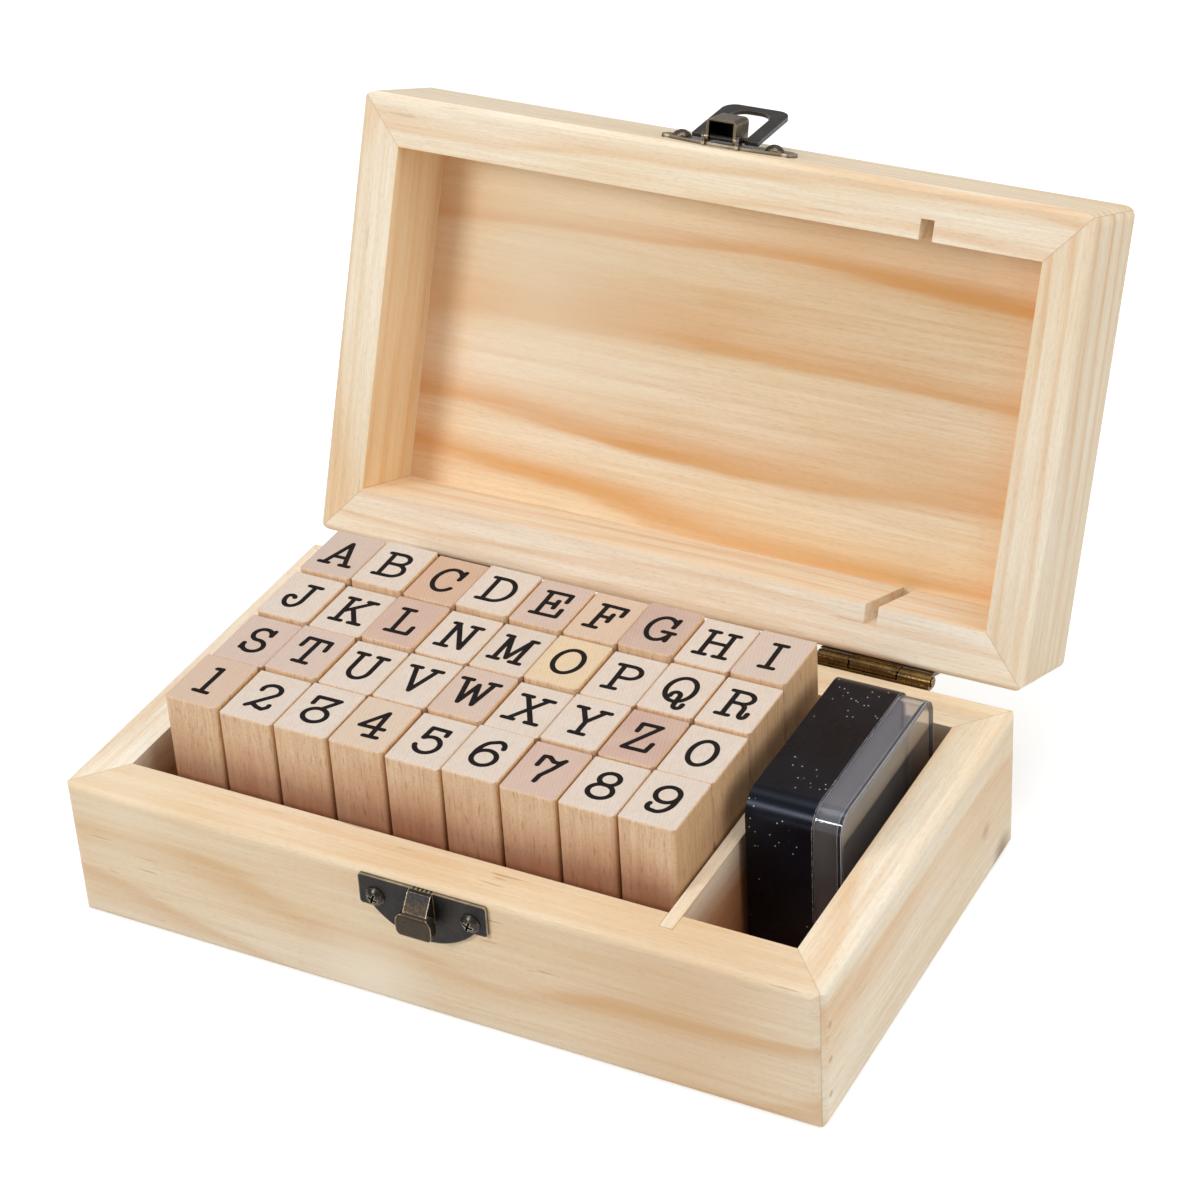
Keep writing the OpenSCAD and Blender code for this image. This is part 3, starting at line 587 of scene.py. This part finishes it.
def glyph_sheet(strokes):
    """Vertices and faces of the strokes' flat shape, by marching over a grid."""
    reach = STROKE / 2
    xs = [p[0] for line in strokes for p in line]
    ys = [p[1] for line in strokes for p in line]
    x0, y0 = min(xs) - reach - CELL, min(ys) - reach - CELL
    nx = int((max(xs) + reach + CELL - x0) / CELL) + 2
    ny = int((max(ys) + reach + CELL - y0) / CELL) + 2
    grid = [
        [stroke_distance(strokes, x0 + i * CELL, y0 + j * CELL) - reach for i in range(nx)]
        for j in range(ny)
    ]
    verts, index, faces = [], {}, []

    def corner(i, j):
        """Number of the vertex at a grid point."""
        key = (i, j)
        if key not in index:
            index[key] = len(verts)
            verts.append((x0 + i * CELL, y0 + j * CELL))
        return index[key]

    def crossing(a, b):
        """Number of the vertex where the outline crosses the line between two grid points."""
        key = (min(a, b), max(a, b))
        if key not in index:
            (i, j), (k, m) = key
            da, db = grid[j][i], grid[m][k]
            t = min(0.98, max(0.02, da / (da - db)))
            index[key] = len(verts)
            verts.append((x0 + (i + t * (k - i)) * CELL, y0 + (j + t * (m - j)) * CELL))
        return index[key]

    for j in range(ny - 1):
        for i in range(nx - 1):
            ring = [(i, j), (i + 1, j), (i + 1, j + 1), (i, j + 1)]
            inked = [grid[b][a] < 0 for a, b in ring]
            if not any(inked):
                continue
            loop = []
            for k in range(4):
                after = (k + 1) % 4
                if inked[k]:
                    loop.append(corner(*ring[k]))
                if inked[k] != inked[after]:
                    loop.append(crossing(ring[k], ring[after]))
            if len(loop) > 2:
                faces.append(loop)
    return verts, faces


def glyph_tilt(letter):
    """A small turn of the print, up to 1.5 degrees either way, that differs by character."""
    step = (ord(letter) * 37) % 7 - 3
    return math.radians(step * 0.5)


def print_glyph(letter, ink):
    """Ink on the top of one stamp."""
    low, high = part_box("stamp_" + letter.lower())
    verts, faces = glyph_sheet(GLYPHS[letter])
    size = GLYPH_HEIGHT / GLYPH_UNITS
    cx, cy = (low.x + high.x) / 2, (low.y + high.y) / 2
    tilt = glyph_tilt(letter)
    mesh = bpy.data.meshes.new("ink_" + letter)
    bm = bmesh.new()
    placed = []
    for x, y in verts:
        dx, dy = x * size, (y - GLYPH_UNITS / 2) * size
        across = cx + dx * math.cos(tilt) - dy * math.sin(tilt)
        along = cy + dx * math.sin(tilt) + dy * math.cos(tilt)
        placed.append(bm.verts.new((across, along, high.z + INK_PROUD)))
    for loop in faces:
        bm.faces.new([placed[i] for i in loop])
    edge = [e for e in bm.edges if e.is_boundary]
    out = bmesh.ops.extrude_edge_only(bm, edges=edge)
    for v in out["geom"]:
        if isinstance(v, bmesh.types.BMVert):
            v.co.z -= 2 * INK_PROUD
    bmesh.ops.recalc_face_normals(bm, faces=bm.faces)
    bm.to_mesh(mesh)
    bm.free()
    obj = bpy.data.objects.new("print_" + letter, mesh)
    bpy.context.scene.collection.objects.link(obj)
    mesh.materials.append(ink)
    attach(obj, "stamp_%s_body" % letter.lower())


def ink_material():
    """Matt black stamp ink."""
    s = Shader("stamp_ink")
    p = s.place()
    patch = s.noise(p, 900.0, 3.0)
    colour = s.mix(s.span(patch, 0.35, 0.7), "#141011", "#241e1d")
    rough = s.span(patch, 0.3, 0.7, 0.6, 0.75)
    s.surface(colour, rough, s.bump(patch, 0.01 * MM, 0.3), Specular_IOR_Level=0.12)
    return s.mat


def dress_stamps():
    ink = ink_material()
    for index, letter in enumerate(STAMP_ORDER):
        wear("stamp_" + letter.lower(), beech(letter, index))
        print_glyph(letter, ink)


# Metal

# The catch and the latch lie on the front, the hinges on the back, so outward is away from HALF_D.
# The middles of catch and hinges, the thickness of the sheet, and a hinge's middle knuckle.
CATCH_X = 0.3 * MM
HINGES_X = (-44.7 * MM, 52.2 * MM)
SHEET = 0.8 * MM
KNUCKLE_MID = 11.1 * MM

# The catch's hook: where its brown begins and is full, and the width and pitch of its teeth marks.
HOOK_FROM = 2.2 * MM
HOOK_FULL = 3.4 * MM
TEETH_HALF = 2.4 * MM
TOOTH_PITCH = 0.95 * MM

# The hollow of the latch lever: half its width, and how far out it ends.
HOLLOW_HALF = 2.85 * MM
HOLLOW_OUT = 5.5 * MM

# The cross slots of the screws: where their walls and floors begin, and where the floors end.
SLOT_WALL = 1.3 * MM
SLOT_FLOOR = 1.45 * MM
SLOT_TOP = 1.78 * MM


def outward(s, lid):
    """Distance of the surface outward from the front or back of the closed box."""
    return s.math("SUBTRACT", s.math("ABSOLUTE", s.split(s.closed(lid))["Y"]), HALF_D)


def all_of(s, *masks):
    """The product of several masks."""
    total = masks[0]
    for mask in masks[1:]:
        total = s.math("MULTIPLY", total, mask)
    return total


def tooth_marks(s, across, flat, sheet):
    """Painted shade of teeth on the bend of the hook, on the faces that are only as wide as the
    sheet.
    """
    wave = s.math("SINE", s.math("MULTIPLY", across, 2 * math.pi / TOOTH_PITCH))
    near = s.math("LESS_THAN", s.math("ABSOLUTE", across), TEETH_HALF)
    notch = all_of(s, near, s.span(flat, 0.3, 0.7, 1.0, 0.0), sheet)
    return s.math("MULTIPLY", notch, s.span(wave, 0.0, 0.5))


def knuckle_gap(s, x, out, middle):
    """Painted shade in the gaps on both sides of the middle knuckle of one hinge."""
    off = s.math("ABSOLUTE", s.math("SUBTRACT", x, middle))
    near = s.math("ABSOLUTE", s.math("SUBTRACT", off, KNUCKLE_MID / 2))
    return all_of(s, s.span(near, 0.15 * MM, 0.4 * MM, 1.0, 0.0), s.math("GREATER_THAN", out, MM))


def lever_hollow(s, across, out):
    """Painted shade inside the latch lever."""
    narrow = s.math("LESS_THAN", s.math("ABSOLUTE", across), HOLLOW_HALF)
    return all_of(s, narrow, s.math("LESS_THAN", out, HOLLOW_OUT))


def screw_slot(s, out, flat):
    """Painted shade on the floors and walls of the screws' cross slots."""
    over = s.math("GREATER_THAN", out, SLOT_FLOOR)
    under = s.math("LESS_THAN", out, SLOT_TOP)
    bottom = all_of(s, over, under, s.span(flat, 0.985, 0.999))
    wall = all_of(s, s.math("GREATER_THAN", out, SLOT_WALL), s.span(flat, 0.1, 0.3, 1.0, 0.0))
    return s.math("MAXIMUM", bottom, wall)


def bronze(name, dark, light, wear_and_highlight, lid=False, edge=0.25, rough=0.42, rim=0.0, brown=None,
           recess=False, teeth=False, hollow=False, joints=False):
    """Darkened plating that wears to brass on edges and rims, with a painted highlight there,
    finely pitted.

    edge is the width of the rubbed, highlighted edges in mm. rim is the strength of the wear and
    painted highlight on the faces that are only as wide as the sheet, brighter on their front half,
    and brown the colour of what stands out far, such as the hook. recess paints shade in the cross
    slots of the screws, teeth paints the shade of teeth on the bend of the hook, hollow paints
    shade inside the lever, and joints paints shade in the gaps between the knuckles of the hinges.
    """
    s = Shader(name)
    p = s.place()
    cloud = s.noise(p, 260.0, 4.0, 0.6)
    pit = s.noise(p, 2200.0, 2.0, 0.6)
    out = outward(s, lid)
    flat = s.facing(lid)
    x = s.split(p)["X"]
    across = s.math("SUBTRACT", x, CATCH_X)
    colour = s.mix(s.span(cloud, 0.35, 0.7), dark, light)
    if brown:
        far = s.span(out, HOOK_FROM, HOOK_FULL, 0.0, 0.85)
        colour = s.mix(far, colour, s.mix(s.span(pit, 0.4, 0.65), brown, light))
    # Wear to brass with a painted highlight, on the edges and on the faces only as wide as the
    # sheet, brighter on their front half.
    edge_wear_and_highlight = s.math("MULTIPLY", s.edges(edge * MM), s.span(cloud, 0.2, 0.6, 0.5, 1.0))
    sheet = s.math("LESS_THAN", out, SHEET + 0.05 * MM)
    front = s.span(out, 0.35 * SHEET, 0.6 * SHEET, 0.25, 1.0)
    thin = all_of(s, s.span(flat, 0.3, 0.7, rim, 0.0), s.span(cloud, 0.3, 0.6, 0.5, 1.0))
    edge_wear_and_highlight = s.math("MAXIMUM", edge_wear_and_highlight, all_of(s, thin, front, sheet))
    colour = s.mix(edge_wear_and_highlight, colour, wear_and_highlight)
    # Painted shade in the teeth, the gaps between knuckles, the lever's hollow and the screws'
    # slots.
    if teeth:
        colour = s.mix(tooth_marks(s, across, flat, sheet), colour, "#050505")
    if joints:
        for middle in HINGES_X:
            colour = s.mix(knuckle_gap(s, x, out, middle), colour, "#0c0906")
    if hollow:
        colour = s.mix(lever_hollow(s, across, out), colour, "#080706")
    if recess:
        colour = s.mix(screw_slot(s, out, flat), colour, "#050505")
    pitted = s.span(pit, 0.3, 0.7, rough - 0.08, rough + 0.12)
    rough_map = s.math("ADD", pitted, s.math("MULTIPLY", edge_wear_and_highlight, -0.1))
    normal = s.bump(s.math("ADD", pit, s.math("MULTIPLY", cloud, 0.6)), 0.03 * MM, 0.6)
    s.surface(colour, rough_map, normal, Metallic=0.85)
    return s.mat


def dress_metal():
    wear("catch_plate", bronze(
        "bronze_catch", "#2a2929", "#393532", "#dcc9a4", rim=0.75, edge=0.4, brown="#4a3a26",
        teeth=True))
    wear("latch_plate", bronze(
        "bronze_plate", "#474341", "#5d5751", "#b7a68c", lid=True, rim=0.8))
    wear("latch_lever", bronze(
        "bronze_lever", "#6b5f50", "#85745d", "#c9b390", lid=True, rough=0.36, hollow=True))
    wear("latch_ring", bronze(
        "bronze_ring", "#4b4846", "#5c5854", "#b3a796", lid=True, rough=0.36))
    wear("latch_pin", bronze("bronze_pin", "#24211e", "#37312b", "#7d705c", lid=True))
    wear("base_screws", bronze(
        "bronze_screw", "#35302c", "#524b44", "#cfc4b2", rough=0.26, edge=0.4, recess=True))
    wear("lid_screws", bronze(
        "bronze_lid_screw", "#51483c", "#6e6251", "#cfc4b2", lid=True, rough=0.26, edge=0.4,
        recess=True))
    for node in ("hinge_base_leaves", "hinge_lid_leaves", "hinge_pins"):
        wear(node, bronze(
            "brass_" + node, "#4f3c20", "#75592f", "#c2a066", lid=node == "hinge_lid_leaves",
            rough=0.3, joints=True))


# Ink pad

# Width of the strip with the case's parting line, at its right edge.
PARTING = 0.9 * MM


def black_plastic():
    """Smooth black case with pale specks of dust and a pale broken line along its parting line."""
    s = Shader("pad_black")
    p = s.place()
    cell = s.add("ShaderNodeTexVoronoi", feature="F1")
    s.link(p, cell.inputs["Vector"])
    cell.inputs["Scale"].default_value = 800.0
    cell.inputs["Randomness"].default_value = 1.0
    speck = s.span(cell.outputs["Distance"], 0.09, 0.13, 1.0, 0.0)
    few = s.math("GREATER_THAN", s.noise(p, 90.0, 1.0), 0.52)
    case_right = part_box("pad_case")[1].x
    parting = s.math("GREATER_THAN", s.split(p)["X"], case_right - PARTING)
    broken = s.span(s.noise(p, 1500.0, 1.0), 0.4, 0.6, 0.3, 1.0)
    line = s.math("MULTIPLY", s.edges(0.25 * MM, 0.02, 0.2), broken)
    dust = s.math("MAXIMUM", s.math("MULTIPLY", speck, few), s.math("MULTIPLY", line, parting))
    smear = s.noise(p, 90.0, 3.0)
    colour = s.mix(s.span(smear, 0.3, 0.7), "#080a10", "#10131c")
    colour = s.mix(dust, colour, "#cfcac6")
    rough = s.math("ADD", s.span(smear, 0.3, 0.7, 0.24, 0.34), s.math("MULTIPLY", dust, 0.4))
    s.surface(colour, rough, s.bump(smear, 0.02 * MM, 0.3), Specular_IOR_Level=0.22,
              Specular_Tint=rgba("#dde5ff"))
    return s.mat


def clear_plastic():
    """Clear plastic, milky on its rubbed edges with a painted highlight there, and milky on its top
    with a painted sheen.
    """
    s = Shader("pad_clear")
    p = s.place()
    haze = s.noise(p, 70.0, 3.0)
    scratch = s.noise(s.stretch(p, (300, 40, 900)), 1.0, 3.0, 0.7)
    rough = s.span(haze, 0.3, 0.8, 0.04, 0.14)
    normal = s.bump(scratch, 0.01 * MM, 0.3)
    glass = s.surface("#f2f1f0", rough, normal, Transmission_Weight=1.0, IOR=1.46)
    milk = s.add("ShaderNodeBsdfDiffuse")
    tex = s.add("ShaderNodeTexCoord")
    # Painted sheen: the top faces are milkier.
    upward = s.span(s.split(tex.outputs["Normal"])["Z"], 0.5, 0.95, 0.0, 0.14)
    both = s.add("ShaderNodeMixShader")
    # Rubbed edges with a painted highlight.
    edge_wear_and_highlight = s.math("MULTIPLY", s.edges(0.35 * MM, 0.02, 0.2), 0.85)
    s.link(s.mix(edge_wear_and_highlight, "#9aa2b4", "#e6e6ea"), milk.inputs["Color"])
    cloudy = s.math("ADD", s.span(haze, 0.3, 0.7, 0.01, 0.05), upward)
    s.put(both.inputs[0], s.math("MAXIMUM", cloudy, edge_wear_and_highlight))
    s.link(glass.outputs[0], both.inputs[1])
    s.link(milk.outputs[0], both.inputs[2])
    s.link(both.outputs[0], s.out.inputs["Surface"])
    return s.mat


def felt():
    """Dark inked felt."""
    s = Shader("pad_felt")
    p = s.place()
    fuzz = s.noise(p, 1800.0, 4.0, 0.7)
    blot = s.noise(p, 120.0, 2.0)
    colour = s.mix(s.span(blot, 0.3, 0.7), "#1d1b20", "#2c2a30")
    colour = s.mix(s.span(fuzz, 0.5, 0.8, 0.0, 0.4), colour, "#4a464c")
    s.surface(colour, 0.9, s.bump(fuzz, 0.15 * MM, 0.8), Sheen_Weight=0.3)
    return s.mat


def dress_pad():
    wear("pad_case", black_plastic())
    wear("pad_cover", clear_plastic())
    wear("pad_felt", felt())


# Soft edges: sharp edges of the solids get a narrow bevel

def soften(node_name, width):
    mod = NODES[node_name].modifiers.new("soft_edge", "BEVEL")
    mod.width = width
    mod.segments = 2
    mod.limit_method = "ANGLE"
    mod.angle_limit = math.radians(50)
    mod.harden_normals = True


def soften_all():
    for name in ("divider", "floor_panel", "lid_panel"):
        soften(name, 0.25 * MM)
    for name in ("latch_lever", "latch_ring", "latch_plate", "catch_plate"):
        soften(name, 0.12 * MM)


# Floor, light and camera

# The camera that was fitted to the photograph: its place, its right and up directions, and its
# focal length in pixels of the picture's width.
CAMERA_AT = Vector((276.01, -470.14, 423.55)) * MM
CAMERA_RIGHT = Vector((0.8895, 0.4541, -0.0510))
CAMERA_UP = Vector((-0.2109, 0.5069, 0.8358))
FOCAL_PIXELS = 3258.9
PICTURE_PIXELS = 1200
SENSOR_MM = 36.0


def camera():
    data = bpy.data.cameras.new("camera")
    data.sensor_width = SENSOR_MM
    data.sensor_fit = "HORIZONTAL"
    data.lens = FOCAL_PIXELS / PICTURE_PIXELS * SENSOR_MM
    data.clip_start = 0.01
    data.clip_end = 20
    obj = bpy.data.objects.new("camera", data)
    right = CAMERA_RIGHT.normalized()
    up = (CAMERA_UP - right * CAMERA_UP.dot(right)).normalized()
    back = right.cross(up)
    turn = Matrix((right, up, back)).transposed().to_4x4()
    obj.matrix_world = Matrix.Translation(CAMERA_AT) @ turn
    bpy.context.scene.collection.objects.link(obj)
    bpy.context.scene.camera = obj


def white_seen(s):
    """1 for camera, mirror and glass rays, 0 for the rest."""
    path = s.add("ShaderNodeLightPath")
    seen = s.math("MAXIMUM", path.outputs["Is Camera Ray"], path.outputs["Is Glossy Ray"])
    return s.math("MAXIMUM", seen, path.outputs["Is Transmission Ray"])


# Half the floor's width in metres, and how bright it glows for the rays that see it directly.
FLOOR_HALF = 3.0
FLOOR_GLOW = 0.55


def floor():
    """A white floor that keeps the object's shadow."""
    mesh = bpy.data.meshes.new("floor")
    corners = [(x * FLOOR_HALF, y * FLOOR_HALF, 0) for x, y in ((-1, -1), (1, -1), (1, 1), (-1, 1))]
    mesh.from_pydata(corners, [], [(0, 1, 2, 3)])
    obj = bpy.data.objects.new("floor", mesh)
    bpy.context.scene.collection.objects.link(obj)
    s = Shader("floor_white")
    speck = s.noise(s.place(), 30.0, 2.0)
    diffuse = s.surface("#dadada", 0.9, s.bump(speck, 0.001 * MM, 0.1), Specular_IOR_Level=0.0)
    glow = s.add("ShaderNodeEmission")
    glow.inputs["Color"].default_value = (1, 1, 1, 1)
    s.put(glow.inputs["Strength"], s.math("MULTIPLY", white_seen(s), FLOOR_GLOW))
    both = s.add("ShaderNodeAddShader")
    s.link(diffuse.outputs[0], both.inputs[0])
    s.link(glow.outputs[0], both.inputs[1])
    s.link(both.outputs[0], s.out.inputs["Surface"])
    mesh.materials.append(s.mat)


def area_light(name, where, target, size, power):
    """A square white light at one place, turned to a target."""
    data = bpy.data.lights.new(name, "AREA")
    data.shape = "SQUARE"
    data.size = size
    data.energy = power
    obj = bpy.data.objects.new(name, data)
    obj.location = where
    obj.rotation_euler = (Vector(target) - Vector(where)).to_track_quat("-Z", "Y").to_euler()
    bpy.context.scene.collection.objects.link(obj)


# Strength of the surroundings as light. What the camera sees of them is pure white.
WORLD_LIGHT = 0.36


def world():
    """White surroundings."""
    w = bpy.data.worlds.new("world")
    bpy.context.scene.world = w
    w.use_nodes = True
    tree = w.node_tree
    tree.nodes.clear()
    out = tree.nodes.new("ShaderNodeOutputWorld")
    back = tree.nodes.new("ShaderNodeBackground")
    path = tree.nodes.new("ShaderNodeLightPath")
    seen = tree.nodes.new("ShaderNodeMath")
    seen.operation = "MAXIMUM"
    strength = tree.nodes.new("ShaderNodeMapRange")
    tree.links.new(path.outputs["Is Camera Ray"], seen.inputs[0])
    tree.links.new(path.outputs["Is Transmission Ray"], seen.inputs[1])
    tree.links.new(seen.outputs[0], strength.inputs[0])
    strength.inputs[3].default_value = WORLD_LIGHT
    strength.inputs[4].default_value = 1.0
    back.inputs["Color"].default_value = (1, 1, 1, 1)
    tree.links.new(strength.outputs[0], back.inputs["Strength"])
    tree.links.new(back.outputs[0], out.inputs["Surface"])


def lights():
    area_light("key", (-0.47, -0.92, 0.74), (0, 0.03, 0.06), 0.3, 6.0)
    area_light("top", (0.1, 0.15, 1.25), (0, 0.02, 0.03), 1.0, 7.5)
    area_light("right", (1.0, 0.0, 0.45), (0, 0, 0.05), 0.8, 3.2)


dress_base_boards()
dress_lid_boards()
dress_stamps()
dress_metal()
dress_pad()
soften_all()
floor()
world()
lights()
camera()
bpy.context.scene.view_settings.view_transform = "Standard"
